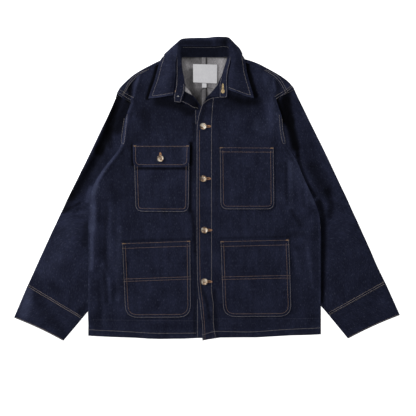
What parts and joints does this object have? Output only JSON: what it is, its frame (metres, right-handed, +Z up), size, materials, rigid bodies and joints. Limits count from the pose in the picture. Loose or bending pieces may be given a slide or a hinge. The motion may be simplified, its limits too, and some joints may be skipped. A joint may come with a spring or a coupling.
{
  "type": "chore jacket",
  "caption": "Denim chore jacket laid flat and buttoned, with a turned-down collar, patch pockets, a flap pocket and banded cuffs.",
  "frame": {"origin": "middle of the laid-out jacket's outline, on the surface it lies on", "axes": "+X toward the wearer's left, +Y from the hem to the collar, +Z up from the surface"},
  "size_m": [0.978, 0.7721, 0.0217],
  "materials": {
    "denim": "unwashed dark indigo twill, matte",
    "denim_inside": "grey inner face of the twill, matte",
    "thread": "tan sewing thread",
    "label_cloth": "smooth pale woven label",
    "button": "marbled horn look, polished"
  },
  "bodies": {
    "root": {"back_right": "denim", "back_left": "denim", "front_right": "denim", "front_left": "denim", "facing_right": "denim", "facing_left": "denim", "sleeve_right": "denim", "sleeve_left": "denim", "cuff_right": "denim", "cuff_left": "denim", "collar": "denim", "collar_stand": "denim", "pocket_chest_right": "denim", "pocket_flap": "denim", "pocket_chest_left": "denim", "pocket_lower_right": "denim", "pocket_lower_left": "denim", "neck_label": "label_cloth", "size_tab": "label_cloth", "button_front_1": "button", "button_front_2": "button", "button_front_3": "button", "button_front_4": "button", "button_flap": "button", "button_stand": "button"}
  },
  "joints": []
}
